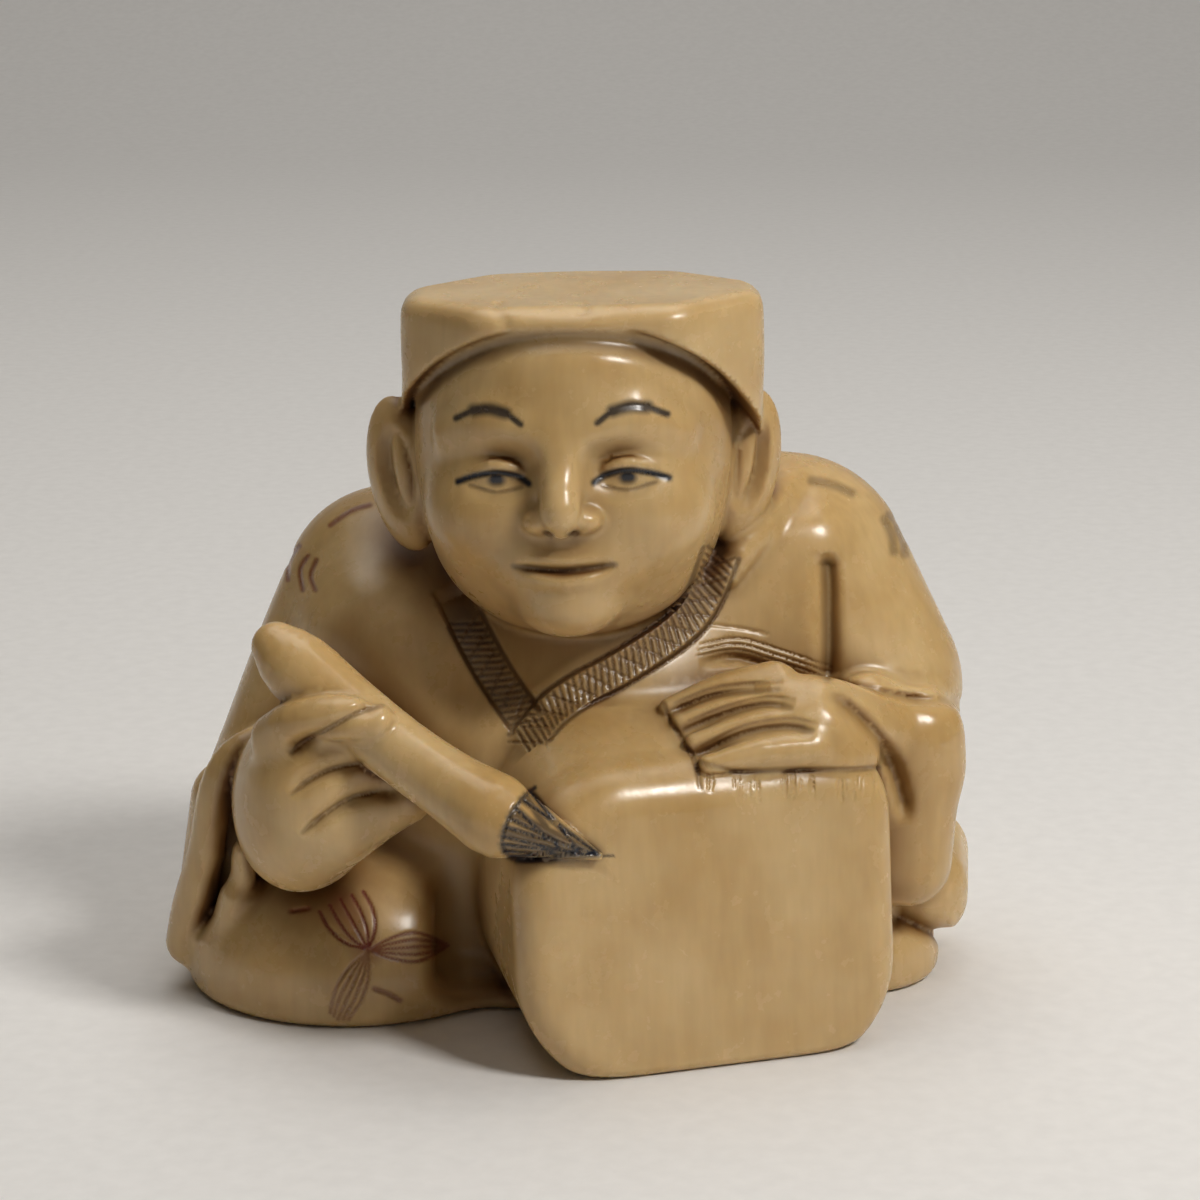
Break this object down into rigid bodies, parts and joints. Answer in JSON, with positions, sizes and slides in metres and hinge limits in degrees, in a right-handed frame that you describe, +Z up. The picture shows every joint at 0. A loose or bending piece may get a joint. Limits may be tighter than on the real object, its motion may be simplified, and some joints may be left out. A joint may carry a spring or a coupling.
{
  "type": "netsuke",
  "caption": "One-piece carved toggle: a seated artisan in a flat cap and robe holds a thick brush to a round-cornered block, with two joined cord holes in the lower back.",
  "frame": {"origin": "the middle of the bounding box in plan, on the flat underside", "axes": "+Z up, the figure faces -Y, +X to the right of someone facing the figure"},
  "size_m": [0.0416, 0.0308, 0.0364],
  "materials": {
    "ivory": "polished, warm cream yellowed by age, browner in the cuts"
  },
  "bodies": {
    "root": {"netsuke": "ivory"}
  },
  "joints": []
}
